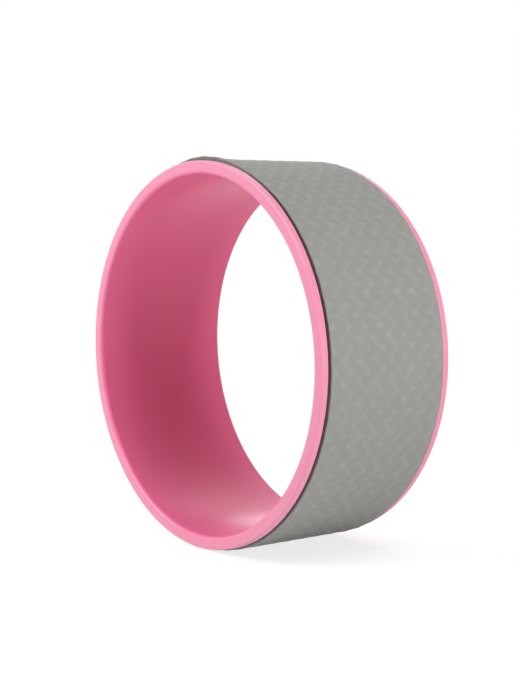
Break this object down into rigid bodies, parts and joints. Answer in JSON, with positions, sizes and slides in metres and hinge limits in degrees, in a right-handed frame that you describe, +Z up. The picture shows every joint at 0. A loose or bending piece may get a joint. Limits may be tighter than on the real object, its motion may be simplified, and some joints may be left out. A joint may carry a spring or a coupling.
{
  "type": "yoga wheel",
  "caption": "Free-standing yoga wheel: a wide moulded plastic hoop with rounded rims and a foam pad glued into the channel round its outside, to lean back and roll on.",
  "frame": {"origin": "centre of the wheel: on its axis, midway between the two end faces", "axes": "+Y along the wheel's axis, away from the end that the picture shows; +Z up as the wheel stands on its tread; +X towards the picture's right"},
  "size_m": [0.32, 0.13, 0.32],
  "materials": {
    "pink_plastic": "satin moulded ABS",
    "adhesive_film": "tacky translucent film",
    "grey_foam": "matt closed-cell TPE foam with an embossed zigzag",
    "seam_glue": "dried contact adhesive"
  },
  "bodies": {
    "root": {"hoop": "pink_plastic", "bonding_film": "adhesive_film", "tread_pad": "grey_foam", "pad_seam": "seam_glue"}
  },
  "joints": []
}
